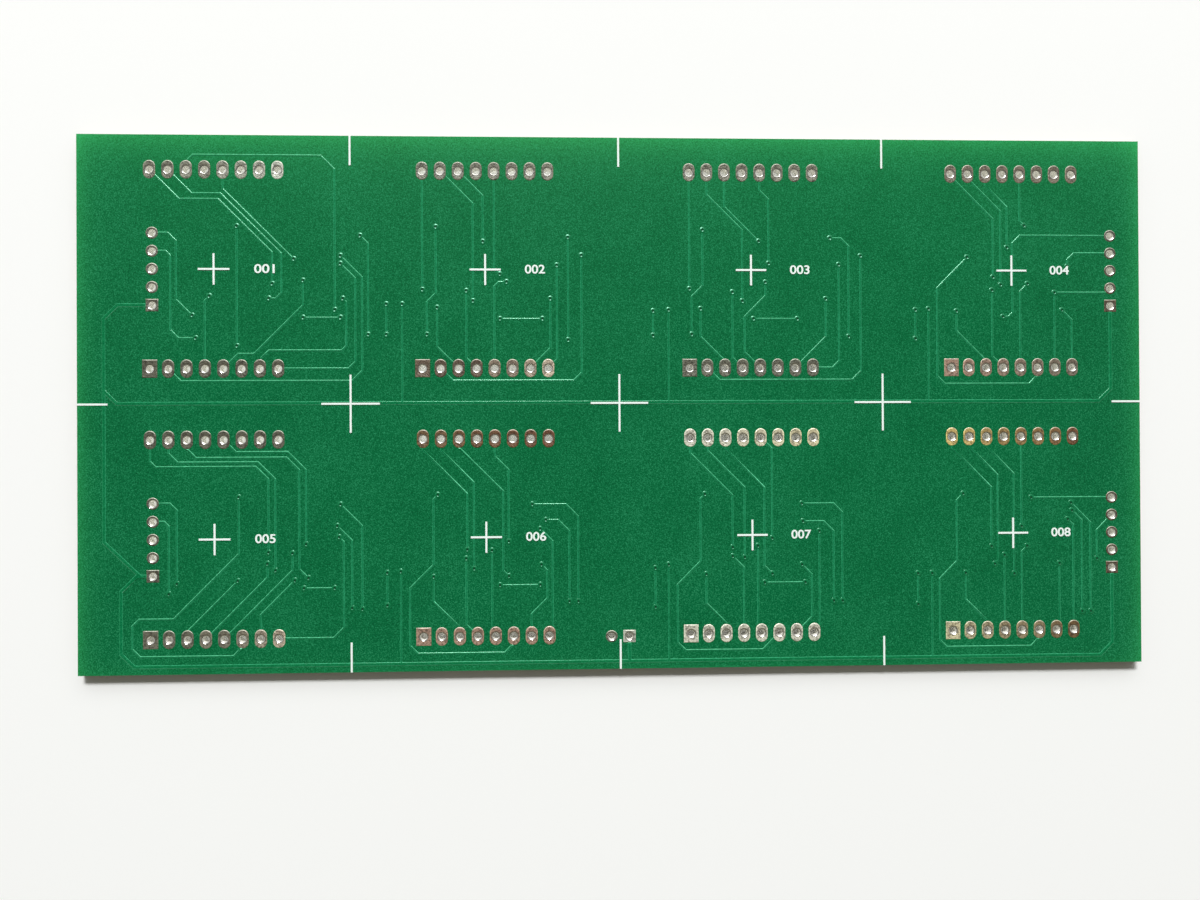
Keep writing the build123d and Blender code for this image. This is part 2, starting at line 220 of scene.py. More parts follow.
class HoleSettings(bpy.types.PropertyGroup):
    """The plated holes and their lands."""

    bore: FloatProperty(name="Bore", description="Finished diameter", unit="LENGTH", default=1.0 * MM)
    plating: FloatProperty(
        name="Plating", description="Thickness of the barrel's wall", unit="LENGTH", default=0.05 * MM
    )
    pitch: FloatProperty(
        name="Pitch", description="From one hole to the next", unit="LENGTH", default=2.54 * MM
    )
    oval: FloatVectorProperty(
        name="Oval land",
        description="Width and length of a module pin's land",
        size=2,
        unit="LENGTH",
        default=(1.7 * MM, 2.6 * MM),
    )
    first: FloatVectorProperty(
        name="First pin's land",
        description="Width and length of the square-cornered land of a module's first pin",
        size=2,
        unit="LENGTH",
        default=(2.1 * MM, 2.55 * MM),
    )
    round_land: FloatProperty(
        name="Round land",
        description="Diameter of a header pin's land",
        unit="LENGTH",
        default=1.7 * MM,
    )
    square_land: FloatProperty(
        name="Square land",
        description="Side of the land of a header's last pin",
        unit="LENGTH",
        default=1.75 * MM,
    )
    sides: IntProperty(name="Sides", description="Points round a hole", default=32, min=8)
    seed: IntProperty(name="Seed", description="Seed of the lands' uneven tone", default=4)


class ViaSettings(bpy.types.PropertyGroup):
    """The small vias that the mask covers."""

    land: FloatProperty(
        name="Land", description="Diameter of a via's land", unit="LENGTH", default=0.94 * MM
    )
    dimple: FloatProperty(
        name="Dimple",
        description="Diameter of the dimple where the mask sinks into the via",
        unit="LENGTH",
        default=0.5 * MM,
    )
    spread: FloatProperty(
        name="Spread", description="How much the vias differ in size", default=0.06, min=0, max=0.2
    )
    seed: IntProperty(name="Seed", description="Seed of the vias' differences", default=7)


class LegendSettings(bpy.types.PropertyGroup):
    """The white printed marks and the plain numbers of the modules' places."""

    ink: FloatVectorProperty(
        name="Ink",
        description="Colour of the printed marks",
        subtype="COLOR",
        default=(0.88, 0.97, 0.93),
    )
    digit_height: FloatProperty(
        name="Digit height", description="Height of a number", unit="LENGTH", default=1.24 * MM
    )
    digit_width: FloatProperty(
        name="Number width", description="Width of a number", unit="LENGTH", default=2.85 * MM
    )
    digit_offset: FloatProperty(
        name="Digit offset",
        description="From a module's middle to the middle of its number",
        unit="LENGTH",
        default=7.05 * MM,
    )
    weight: FloatProperty(
        name="Weight",
        description="How much a number's strokes are widened on each side",
        unit="LENGTH",
        default=0.03 * MM,
    )
    edge: FloatProperty(
        name="Edge",
        description="How far in the crosses' and ticks' edges are rounded",
        unit="LENGTH",
        default=0.03 * MM,
    )
    thickness: FloatProperty(
        name="Thickness", description="Thickness of the ink", unit="LENGTH", default=0.025 * MM
    )


class StageSettings(bpy.types.PropertyGroup):
    """The floor, the lights and the camera."""

    paper: FloatVectorProperty(
        name="Floor", description="Colour of the paper", subtype="COLOR", default=(0.96, 0.965, 0.955)
    )
    # Painted light: the paper glows under the board, though no lamp is there
    glow: FloatVectorProperty(
        name="Glow",
        description="Light that comes up through the paper under the board",
        subtype="COLOR",
        default=(0.3, 0.31, 0.29),
    )
    camera_height: FloatProperty(
        name="Camera height", description="Above the board's front", unit="LENGTH", default=132.5 * MM
    )
    camera_lens: FloatProperty(name="Lens", description="Focal length, in millimetres", default=27.9)
    lamp: FloatProperty(
        name="Lamp", description="Power of the narrow light beyond the far edge", default=55.0
    )
    window: FloatProperty(
        name="Window", description="Power of the wide light below and behind it", default=20.0
    )


SETTINGS = {
    "board_mask": MaskSettings,
    "board_tracks": TrackSettings,
    "board_holes": HoleSettings,
    "board_vias": ViaSettings,
    "board_legend": LegendSettings,
    "board_stage": StageSettings,
}


# Shader maths


class Value:
    """A number socket of a node tree, which can be added, multiplied and compared like a number."""

    def __init__(self, nodes, socket):
        self.nodes = nodes
        self.socket = socket

    def maths(self, operation, *others):
        return self.nodes.node("ShaderNodeMath", {"operation": operation}, *others)

    def __add__(self, other):
        return self.maths("ADD", self, other)

    __radd__ = __add__

    def __sub__(self, other):
        return self.maths("SUBTRACT", self, other)

    def __rsub__(self, other):
        return self.maths("SUBTRACT", other, self)

    def __mul__(self, other):
        return self.maths("MULTIPLY", self, other)

    __rmul__ = __mul__

    def __truediv__(self, other):
        return self.maths("DIVIDE", self, other)

    def __neg__(self):
        return self.maths("MULTIPLY", self, -1.0)

    def __abs__(self):
        return self.maths("ABSOLUTE", self)

    def above(self, limit):
        return self.maths("GREATER_THAN", self, limit)

    def below(self, limit):
        return self.maths("LESS_THAN", self, limit)

    def least(self, other):
        return self.maths("MINIMUM", self, other)

    def most(self, other):
        return self.maths("MAXIMUM", self, other)

    def exp(self):
        return self.maths("EXPONENT", self)

    def ramp(self, low, high):
        """0 at low and 1 at high, straight between them."""
        return self.nodes.node(
            "ShaderNodeMapRange", {"clamp": True}, self, float(low), float(high), 0.0, 1.0
        )


class Nodes:
    """A shader tree, to which an expression adds its nodes."""

    def __init__(self, tree, kind):
        self.tree = tree
        self.shader = next(node for node in self.tree.nodes if node.type == kind)

    def node(self, kind, settings, *inputs, output=0, **named):
        """A node of any kind: its settings first, then the values or links of its sockets."""
        made = self.tree.nodes.new(kind)
        for key, value in settings.items():
            setattr(made, key, value)
        for index, value in enumerate(inputs):
            self.feed(made.inputs[index], value)
        for key, value in named.items():
            self.feed(made.inputs[key.replace("_", " ")], value)
        return Value(self, made.outputs[output])

    def feed(self, socket, value):
        """Sets a socket to a value, or links it to another one."""
        if isinstance(value, Value):
            self.tree.links.new(value.socket, socket)
        else:
            socket.default_value = value

    def blend(self, factor, first, second):
        """A colour between two, by a factor from 0 to 1."""
        made = self.tree.nodes.new("ShaderNodeMix")
        made.data_type = "RGBA"
        self.feed(made.inputs[0], factor)
        self.feed(made.inputs[6], first if isinstance(first, Value) else (*first, 1.0))
        self.feed(made.inputs[7], second if isinstance(second, Value) else (*second, 1.0))
        return Value(self, made.outputs[2])


class Finish(Nodes):
    """One node material, made of Principled BSDF and the nodes that feed it."""

    def __init__(self, name):
        self.material = bpy.data.materials.new(name)
        self.material.use_nodes = True
        super().__init__(self.material.node_tree, "BSDF_PRINCIPLED")

    def coordinates(self):
        """Object coordinates, in metres."""
        return self.node("ShaderNodeTexCoord", {}, output="Object")

    def place(self):
        """Object coordinates, as three numbers."""
        vector = self.coordinates()
        return [self.node("ShaderNodeSeparateXYZ", {}, vector, output=axis) for axis in range(3)]

    def stored(self, name, output="Fac"):
        """The number, or with output Color the colour, that a mesh's points store under a name."""
        return self.node("ShaderNodeAttribute", {"attribute_name": name}, output=output)

    def facing(self, axis=2):
        """How far the surface faces along an axis, -1 to 1."""
        normal = self.node("ShaderNodeNewGeometry", {}, output="Normal")
        return self.node("ShaderNodeSeparateXYZ", {}, normal, output=axis)

    def noise(self, size, detail=2.0, roughness=0.5, stretch=(1.0, 1.0, 1.0)):
        """Even noise from 0 to 1, with grains of about the given size in metres."""
        scaled = self.node(
            "ShaderNodeMapping", {"vector_type": "POINT"}, self.coordinates(), Scale=stretch
        )
        return self.node(
            "ShaderNodeTexNoise", {}, Vector=scaled, Scale=1 / size, Detail=detail, Roughness=roughness
        )

    def bump(self, height, strength, distance):
        """A normal from a height."""
        return self.node("ShaderNodeBump", {}, Strength=strength, Distance=distance, Height=height)

    def wear(self, **sockets):
        """Feeds the shader's sockets by name and gives the finished material."""
        for key, value in sockets.items():
            if isinstance(value, tuple) and len(value) == 3:
                value = (*value, 1.0)
            self.feed(self.shader.inputs[key.replace("_", " ")], value)
        return self.material


def edge_light(finish, reach):
    """How strongly the light that enters at the laminate's edges shows, from 0 to 1: painted light in the
    colour.
    The far edge is the lightest, and the near one lies in the board's own shadow, which is painted shade."""
    x, y, _ = finish.place()
    from_far = HALF_WIDTH - y
    from_side = HALF_LENGTH - abs(x)
    from_near = y + HALF_WIDTH
    # How strong each light is at its edge, and in how many reaches it fades to a third
    glow = 0.62 * (-from_far / (1.6 * reach)).exp()
    for distance, strength, reaches in ((from_far, 0.2, 10), (from_side, 0.5, 1), (from_near, 0.14, 1)):
        glow = glow + strength * (-distance / (reaches * reach)).exp()
    return glow.least(1.0)


def mask_grain(finish):
    """The fine speckle of the cured mask, around 0."""
    fine = finish.noise(0.16 * MM, detail=2.0, roughness=0.6)
    broad = finish.noise(9 * MM, detail=3.0)
    return (fine - 0.5) * 2.2 + (broad - 0.5) * 0.3


def shaded(finish, colour, grain):
    """A colour made lighter or darker by the grain."""
    lighter = finish.blend(grain.most(0.0).least(1.0), colour, LIGHT_SPECK)
    return finish.blend((-grain).most(0.0).least(1.0), lighter, DARK_SPECK)


def board_finish(mask):
    """Glossy green mask on the two faces and bare glass laminate round the edge."""
    finish = Finish("green_mask_on_laminate")
    grain = mask_grain(finish)
    glow = edge_light(finish, mask.edge_glow)
    green = finish.blend(glow, tuple(mask.deep), tuple(mask.lit))
    green = shaded(finish, green, grain)
    layers = finish.noise(0.12 * MM, detail=3.0, stretch=(0.05, 0.05, 1.0))
    fibres = finish.noise(0.25 * MM, detail=2.0, stretch=(1.0, 1.0, 0.3))
    dark_edge = tuple(0.42 * part for part in mask.laminate)
    edge = finish.blend((layers * 0.6 + fibres * 0.5).ramp(0.35, 0.8), dark_edge, tuple(mask.laminate))
    flat = abs(finish.facing()).above(0.5)
    colour = finish.blend(flat, edge, green)
    weave = finish.noise(0.9 * MM, detail=2.0)
    height = weave * 0.5 + grain * 0.5
    return finish.wear(
        Base_Color=colour,
        Roughness=0.75 - 0.57 * flat,
        Normal=finish.bump(height, 0.35, 0.02 * MM),
        Specular_IOR_Level=0.45,
    )


def track_finish(mask, tracks, wide):
    """The mask over copper: a little lighter, lighter still where it runs thin over a shoulder, and with
    a painted highlight on one shoulder.
    """
    finish = Finish("mask_over_wide_copper" if wide else "mask_over_copper")
    glow = edge_light(finish, mask.edge_glow)
    top = finish.blend(glow, tuple(tracks.top), tuple(mask.lit))
    patchy = finish.noise(0.4 * MM, detail=2.0).ramp(0.35, 0.65)
    slope = (1 - abs(finish.facing())).ramp(0.0, 0.12)
    thin = slope * (0.45 + 0.55 * patchy)
    # Painted highlight: the slope of a narrow track that faces the light, and of a wide one the other
    # slope, is made lighter
    lit_side = finish.facing(1).ramp(0.0, -0.15) if wide else finish.facing(1).ramp(0.03, 0.17)
    shoulder = finish.blend(lit_side, tuple(tracks.shoulder), tuple(tracks.lit_shoulder))
    colour = finish.blend(thin, top, shoulder)
    colour = shaded(finish, colour, mask_grain(finish) * 0.7)
    return finish.wear(
        Base_Color=colour,
        Roughness=0.18,
        Specular_IOR_Level=0.45,
        Specular_Tint=(0.55, 1.0, 0.78),
    )


def via_finish(tracks):
    """The mask over a via: light on its ring, and painted shade making its dimple dark."""
    finish = Finish("mask_over_via")
    # Painted shade: the deeper into the dimple, the darker the colour
    depth = finish.stored("dimple").ramp(0.2, 1.0)
    return finish.wear(
        Base_Color=finish.blend(depth, tuple(tracks.top), VIA_DIMPLE_SHADE),
        Roughness=0.3,
        IOR=1.5,
        Specular_IOR_Level=1.0,
        Specular_Tint=(0.45, 1.0, 0.75),
    )


def tin_finish():
    """Tinned copper: mottled on the land, dull in the groove, a painted highlight on the far slope,
    bright on the lip, matt in the barrel.
    """
    finish = Finish("tinned_copper")
    tone = finish.stored("tone", output="Color")
    shine = finish.stored("shine")
    groove = finish.stored("groove")
    mottle = finish.noise(0.32 * MM, detail=3.0, roughness=0.65)
    ridges = finish.noise(0.16 * MM, detail=2.0)
    height = finish.place()[2]
    barrel = height.below(FRONT - 0.02 * MM) * height.above(BACK + 0.02 * MM)
    brightness = (0.42 + 1.15 * mottle.ramp(0.38, 0.62)).least(1.2)
    colour = finish.node("ShaderNodeHueSaturation", {}, Value=brightness, Color=tone)
    # A darker ring round the bore, in the groove, patchy with the mottle
    colour = finish.blend(groove * (0.5 + 0.8 * mottle).least(1.0), colour, DARK_BORE_RING)
    # Painted highlight on the slope that faces the far side, where the light comes from
    colour = finish.blend(finish.facing(1).ramp(0.15, 0.35) * 0.5, colour, PAINTED_RIM_HIGHLIGHT)
    colour = finish.blend(shine, colour, BARE_TIN)
    return finish.wear(
        Base_Color=colour,
        Metallic=(0.2 + 0.8 * shine) * (1 - barrel),
        Roughness=0.1 + (0.14 + 0.3 * mottle) * (1 - shine) + 0.5 * barrel,
        Normal=finish.bump((ridges * 0.7 + mottle * 0.7) * (1 - shine), 0.9, 0.06 * MM),
    )


def land_finish():
    """Tinned lands on the back, bright and even because nothing has touched them."""
    finish = Finish("tinned_back_land")
    mottle = finish.noise(0.4 * MM, detail=2.0)
    colour = finish.blend(mottle, (0.5, 0.5, 0.44), (0.72, 0.72, 0.66))
    return finish.wear(
        Base_Color=colour,
        Metallic=0.85,
        Roughness=0.22 + 0.2 * mottle,
        Normal=finish.bump(mottle, 0.4, 0.02 * MM),
    )


def ink_finish(legend):
    """White legend ink, a little thin in places."""
    finish = Finish("white_legend_ink")
    thin = finish.noise(0.3 * MM, detail=2.0).ramp(0.6, 0.95)
    colour = finish.blend(thin * 0.35, tuple(legend.ink), (0.5, 0.72, 0.56))
    return finish.wear(Base_Color=colour, Roughness=0.55)


def paper_finish(stage):
    """Plain pale paper that glows with painted light from below where the board covers it, so that the
    holes aren't black.
    """
    finish = Finish("plain_paper")
    margin = 3 * MM
    x, y, _ = finish.place()
    covered = abs(x).below(HALF_LENGTH - margin) * abs(y).below(HALF_WIDTH - margin)
    along, across = x - SHADE_X, y - SHADE_Y
    away = (along * along + across * across).ramp(SHADE_INSIDE**2, SHADE_OUTSIDE**2)
    inward = y.ramp(SHADE_NEAR, SHADE_FAR)
    # Painted light: a glow where the board covers the paper, dimmer round the shaded place and towards
    # the near edge
    light = covered * (0.05 + 0.95 * away) * (0.3 + 0.7 * inward)
    fibres = finish.noise(0.4 * MM, detail=3.0)
    colour = finish.blend(fibres * 0.06, tuple(stage.paper), (0.8, 0.81, 0.82))
    finish.material.cycles.emission_sampling = "NONE"  # too weak to be sought out as a lamp
    return finish.wear(
        Base_Color=colour,
        Roughness=0.9,
        Specular_IOR_Level=0.1,
        Emission_Color=finish.blend(light, (0.0, 0.0, 0.0), tuple(stage.glow)),
        Emission_Strength=1.0,
    )


# Meshes


def new_object(name, mesh):
    """An object with that mesh, in the scene."""
    made = bpy.data.objects.new(name, mesh)
    bpy.context.scene.collection.objects.link(made)
    return made


def mesh_of(name, fill, smooth=True):
    """A mesh that a function fills through bmesh."""
    shape = bmesh.new()
    fill(shape)
    bmesh.ops.recalc_face_normals(shape, faces=shape.faces)
    for edge in shape.edges:
        edge.smooth = edge.is_manifold and edge.calc_face_angle() < math.radians(45)
    mesh = bpy.data.meshes.new(name)
    shape.to_mesh(mesh)
    shape.free()
    for face in mesh.polygons:
        face.use_smooth = smooth
    return mesh


def dress(piece, material, slot, *replaced):
    """Gives a piece its material and its body, and hides the CAD nodes that it stands for. Its slot is
    not used.
    """
    piece.data.materials.clear()
    piece.data.materials.append(material)
    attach(piece, BODY)
    if replaced:
        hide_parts(*replaced)


def repaint(node, material):
    """A better material on a CAD node whose shape is right."""
    for slot in NODES[node].material_slots:
        slot.material = material


def merged_copy(node):
    """A CAD node's mesh as a bmesh, with its loose triangles joined."""
    shape = bmesh.new()
    shape.from_mesh(NODES[node].data)
    bmesh.ops.remove_doubles(shape, verts=shape.verts, dist=0.0002 * MM)
    return shape


def solid_middles(node):
    """The middle of each separate solid of a CAD node, from left to right."""
    shape = merged_copy(node)
    middles = []
    seen = set()
    for start in shape.verts:
        solid, edge = [], [start]
        while edge:
            vertex = edge.pop()
            if vertex not in seen:
                seen.add(vertex)
                solid.append(vertex.co)
                edge += [link.other_vert(vertex) for link in vertex.link_edges]
        if solid:
            middles.append(sum(solid, Vector()) / len(solid))
    shape.free()
    # Solids in one column differ in the last digits of x, which are rounded off, so that the order is
    # always the same. The shift keeps x away from the halves, where rounding would go either way.
    shift = 0.0001 * MM
    return sorted(middles, key=lambda place: (round(place.x + shift, 6), place.y))


def rounded_copy(node, width, height, segments=6, roundness=0.5, shortest=0.0):
    """A copy of a CAD node's flat pieces, with upper edges rounded over a width and a height.
    The pieces are stretched upwards for the bevel, so that the shoulders can be wider than tall.
    Edges below the shortest length are the ends that meet a land or a via, and stay sharp."""
    shape = merged_copy(node)
    bmesh.ops.dissolve_limit(shape, angle_limit=math.radians(1), verts=shape.verts, edges=shape.edges)
    stretch = width / height
    for vertex in shape.verts:
        vertex.co.z *= stretch
    shape.normal_update()
    rims = [
        edge
        for edge in shape.edges
        if len(edge.link_faces) == 2
        and max(face.normal.z for face in edge.link_faces) > 0.9
        and min(face.normal.z for face in edge.link_faces) < 0.1
        and edge.calc_length() > shortest
    ]
    bmesh.ops.bevel(
        shape,
        geom=rims,
        offset=width,
        segments=segments,
        profile=roundness,
        affect="EDGES",
        clamp_overlap=False,
    )
    for vertex in shape.verts:
        vertex.co.z /= stretch
    bmesh.ops.triangulate(shape, faces=[face for face in shape.faces if len(face.verts) > 4])
    mesh = bpy.data.meshes.new(node)
    shape.to_mesh(mesh)
    shape.free()
    return mesh


def directions(sides):
    """The angles of the points round a hole, which lie on either side of each axis."""
    return [2 * math.pi * (index + 0.5) / sides for index in range(sides)]


def bridge(shape, loops):
    """Joins each loop of points to the next one."""
    for loop, after in zip(loops, loops[1:]):
        for index, point in enumerate(loop):
            following = (index + 1) % len(loop)
            shape.faces.new((point, loop[following], after[following], after[index]))


def stadium(width, length, sides):
    """Points round an oval land, two half circles joined by straight sides, or round a circle."""
    radius = min(width, length) / 2
    straight = max(width, length) / 2 - radius
    points = []
    for angle in directions(sides):
        x, y = radius * math.cos(angle), radius * math.sin(angle)
        points.append(Vector((x, y + math.copysign(straight, y))))
    return points


def rectangle(width, length, sides):
    """Points round a square-cornered land, on the rays of a circle's points."""
    points = []
    for angle in directions(sides):
        x, y = math.cos(angle), math.sin(angle)
        reach = min(width / 2 / abs(x), length / 2 / abs(y))
        points.append(Vector((x * reach, y * reach)))
    for x, y in ((-width, -length), (-width, length), (width, -length), (width, length)):
        corner = math.atan2(y, x)
        offsets = [math.remainder(math.atan2(point.y, point.x) - corner, 2 * math.pi) for point in points]
        nearest = min(range(sides), key=lambda index: abs(offsets[index]))
        points[nearest] = Vector((x / 2, y / 2))
    return points


def store(mesh, name, values):
    """Stores a number for each point of a mesh, which a material reads by its name."""
    mesh.attributes.new(name, "FLOAT", "POINT").data.foreach_set("value", values)


def plated_hole(name, outline, holes):
    """One plated hole at the origin: two lands with rounded shoulders, joined by the barrel."""
    bore = holes.bore / 2
    barrel = bore + holes.plating
    angles = directions(len(outline))

    def ring(inset, radius, height):
        """Points of the outline, moved in by an inset, or of a circle where a radius is given."""
        if radius is None:
            flat = [point * (1 - inset / point.length) for point in outline]
        else:
            flat = [(radius * math.cos(angle), radius * math.sin(angle)) for angle in angles]
        return [(x, y, height) for x, y in flat]

    # The front half of the section, from the land's edge to the bore: how far in from the edge or at
    # what radius, how high as a part of the copper, how bright the tin is, and how dull the groove is
    half = [
        (0.0, None, 0.0, 0.0, 0.0),
        (0.02 * MM, None, 0.3, 0.0, 0.0),
        (0.06 * MM, None, 0.65, 0.0, 0.0),
        (0.1 * MM, None, 0.92, 0.0, 0.0),
        (0.13 * MM, None, 1.0, 0.0, 0.0),
        (0.16 * MM, None, 0.95, 0.0, 0.3),
        (0.0, bore + 0.21 * MM, 0.8, 0.0, 0.3),
        (0.0, bore + 0.18 * MM, 0.7, 0.0, 1.0),
        (0.0, bore + 0.14 * MM, 0.9, 0.0, 1.0),
        (0.0, bore + 0.12 * MM, 0.9, 0.5, 0.0),
        (0.0, bore + 0.07 * MM, 0.7, 1.0, 0.0),
        (0.0, bore + 0.035 * MM, 0.4, 1.0, 0.0),
        (0.0, bore + 0.005 * MM, 0.0, 1.0, 0.0),
    ]
    section = [(inset, radius, FRONT + part * COPPER, *look) for inset, radius, part, *look in half]
    for height in (FRONT - 0.05 * MM, FRONT - 0.15 * MM, BACK + 0.15 * MM, BACK + 0.05 * MM):
        section.append((0.0, bore, height, 1.0, 0.0))
    section += [(inset, radius, BACK - part * COPPER, *look) for inset, radius, part, *look in half[::-1]]
    section += [(0.0, barrel, BACK, 0.0, 0.0), (0.0, barrel, FRONT, 0.0, 0.0)]

    def fill(shape):
        loops = [[shape.verts.new(point) for point in ring(*level[:3])] for level in section]
        bridge(shape, loops + loops[:1])

    mesh = mesh_of(name, fill)
    store(mesh, "shine", [level[3] for level in section for _ in outline])
    store(mesh, "groove", [level[4] for level in section for _ in outline])
    return mesh


def via_dome(vias, sides=24):
    """One tented via at the origin: a low dome with a dimple, and how deep each point lies in it."""
    land, dimple = vias.land / 2, vias.dimple / 2
    # To the dimple's rim, and on to its floor: where each slope ends on the way there, and its degrees
    outer = [(0.08, 30), (0.2, 22), (0.4, 17), (0.62, 14), (0.84, 11), (1.0, 5)]
    inner = [(0.16, -12), (0.38, -28), (0.62, -42), (0.85, -22)]
    radius, height = land, 0.0
    profile = [(radius, height, 0.0)]
    for part, slope in outer:
        reach = land + (dimple - land) * part
        height += (radius - reach) * math.tan(math.radians(slope))
        radius = reach
        profile.append((radius, height, 0.0))
    for part, slope in inner:
        reach = dimple * (1 - part)
        height += (radius - reach) * math.tan(math.radians(slope))
        radius = reach
        profile.append((radius, max(height, 0.05 * COPPER), min(1.0, 2.2 * part)))
    angles = [2 * math.pi * index / sides for index in range(sides)]

    def fill(shape):
        loops = []
        for radius, height, _ in profile:
            points = [(radius * math.cos(angle), radius * math.sin(angle), height) for angle in angles]
            loops.append([shape.verts.new(point) for point in points])
        bridge(shape, loops)
        shape.faces.new(loops[-1])
        shape.faces.new(loops[0][::-1])

    mesh = mesh_of("via_dome", fill)
    store(mesh, "dimple", [depth for _, _, depth in profile for _ in angles])
    return mesh


# Geometry Nodes


def new_tree(name, inputs):
    """A geometry tree with named inputs, and its ends."""
    tree = bpy.data.node_groups.new(name, "GeometryNodeTree")
    tree.interface.new_socket("Geometry", in_out="INPUT", socket_type="NodeSocketGeometry")
    for label, kind in inputs.items():
        tree.interface.new_socket(label, in_out="INPUT", socket_type=f"NodeSocket{kind}")
    tree.interface.new_socket("Geometry", in_out="OUTPUT", socket_type="NodeSocketGeometry")
    return tree, tree.nodes.new("NodeGroupInput"), tree.nodes.new("NodeGroupOutput")


def join(tree, *pairs):
    """Links each pair's output to its input."""
    for output, socket in pairs:
        tree.links.new(output, socket)


def add(tree, kind, **settings):
    """A node with its settings."""
    made = tree.nodes.new(kind)
    for key, value in settings.items():
        setattr(made, key, value)
    return made


def finish_tree(tree, geometry, source, target):
    """Realizes the instances and sets the material, which each tree ends with."""
    realize = tree.nodes.new("GeometryNodeRealizeInstances")
    material = tree.nodes.new("GeometryNodeSetMaterial")
    join(
        tree,
        (geometry, realize.inputs["Geometry"]),
        (realize.outputs["Geometry"], material.inputs["Geometry"]),
        (source.outputs["Material"], material.inputs["Material"]),
        (material.outputs["Geometry"], target.inputs["Geometry"]),
    )
    return tree


def hole_row_tree():
    """A row of plated holes: one kind all along, and another at one end."""
    tree, source, target = new_tree(
        "Row of plated holes",
        {
            "Count": "Int",
            "First": "Vector",
            "Step": "Vector",
            "Hole": "Object",
            "End hole": "Object",
            "End number": "Int",
            "First tone": "Color",
            "Last tone": "Color",
            "Bend": "Float",
            "Seed": "Int",
            "Material": "Material",
        },
    )
    line = add(tree, "GeometryNodeMeshLine", mode="OFFSET")
    points = tree.nodes.new("GeometryNodeMeshToPoints")
    index = tree.nodes.new("GeometryNodeInputIndex")
    at_end = add(tree, "FunctionNodeCompare", data_type="INT", operation="EQUAL")
    elsewhere = add(tree, "FunctionNodeCompare", data_type="INT", operation="NOT_EQUAL")
    last = add(tree, "ShaderNodeMath", operation="SUBTRACT")
    last.inputs[1].default_value = 1.0
    along = add(tree, "ShaderNodeMath", operation="DIVIDE")
    bent = add(tree, "ShaderNodeMath", operation="POWER")
    uneven = add(tree, "FunctionNodeRandomValue", data_type="FLOAT")
    uneven.inputs["Min"].default_value = -TONE_SPREAD
    uneven.inputs["Max"].default_value = TONE_SPREAD
    shift = add(tree, "ShaderNodeMath", operation="ADD", use_clamp=True)
    tone = add(tree, "ShaderNodeMix", data_type="RGBA")
    tones = add(tree, "GeometryNodeStoreNamedAttribute", data_type="FLOAT_COLOR", domain="POINT")
    tones.inputs["Name"].default_value = "tone"
    both = tree.nodes.new("GeometryNodeJoinGeometry")
    join(
        tree,
        (source.outputs["Count"], line.inputs["Count"]),
        (source.outputs["First"], line.inputs["Start Location"]),
        (source.outputs["Step"], line.inputs["Offset"]),
        (line.outputs["Mesh"], points.inputs["Mesh"]),
        (source.outputs["Count"], last.inputs[0]),
        (index.outputs["Index"], along.inputs[0]),
        (last.outputs[0], along.inputs[1]),
        (along.outputs[0], bent.inputs[0]),
        (source.outputs["Bend"], bent.inputs[1]),
        (source.outputs["Seed"], uneven.inputs["Seed"]),
        (bent.outputs[0], shift.inputs[0]),
        (uneven.outputs["Value"], shift.inputs[1]),
        (shift.outputs[0], tone.inputs[0]),
        (source.outputs["First tone"], tone.inputs[6]),
        (source.outputs["Last tone"], tone.inputs[7]),
        (points.outputs["Points"], tones.inputs["Geometry"]),
        (tone.outputs[2], tones.inputs["Value"]),
    )
    for choice, label in ((elsewhere, "Hole"), (at_end, "End hole")):
        info = tree.nodes.new("GeometryNodeObjectInfo")
        instances = tree.nodes.new("GeometryNodeInstanceOnPoints")
        join(
            tree,
            (index.outputs["Index"], choice.inputs[2]),
            (source.outputs["End number"], choice.inputs[3]),
            (source.outputs[label], info.inputs["Object"]),
            (tones.outputs["Geometry"], instances.inputs["Points"]),
            (choice.outputs["Result"], instances.inputs["Selection"]),
            (info.outputs["Geometry"], instances.inputs["Instance"]),
            (instances.outputs["Instances"], both.inputs["Geometry"]),
        )
    return finish_tree(tree, both.outputs["Geometry"], source, target)


def via_tree():
    """Tented vias on the points of a mesh, each turned and sized a little differently."""
    tree, source, target = new_tree(
        "Tented vias", {"Via": "Object", "Spread": "Float", "Seed": "Int", "Material": "Material"}
    )
    points = tree.nodes.new("GeometryNodeMeshToPoints")
    info = tree.nodes.new("GeometryNodeObjectInfo")
    instances = tree.nodes.new("GeometryNodeInstanceOnPoints")
    smallest = add(tree, "ShaderNodeMath", operation="SUBTRACT")
    smallest.inputs[0].default_value = 1.0
    size = add(tree, "FunctionNodeRandomValue", data_type="FLOAT")
    size.inputs["Max"].default_value = 1.0
    turn = add(tree, "FunctionNodeRandomValue", data_type="FLOAT_VECTOR")
    turn.inputs["Min"].default_value = (0.0, 0.0, 0.0)
    turn.inputs["Max"].default_value = (0.0, 0.0, 2 * math.pi)
    wide = tree.nodes.new("ShaderNodeCombineXYZ")
    wide.inputs["Z"].default_value = 1.0
    join(
        tree,
        (source.outputs["Geometry"], points.inputs["Mesh"]),
        (source.outputs["Via"], info.inputs["Object"]),
        (source.outputs["Spread"], smallest.inputs[1]),
        (smallest.outputs[0], size.inputs["Min"]),
        (source.outputs["Seed"], size.inputs["Seed"]),
        (source.outputs["Seed"], turn.inputs["Seed"]),
        (size.outputs["Value"], wide.inputs["X"]),
        (size.outputs["Value"], wide.inputs["Y"]),
        (points.outputs["Points"], instances.inputs["Points"]),
        (info.outputs["Geometry"], instances.inputs["Instance"]),
        (turn.outputs["Value"], instances.inputs["Rotation"]),
        (wide.outputs["Vector"], instances.inputs["Scale"]),
    )
    return finish_tree(tree, instances.outputs["Instances"], source, target)


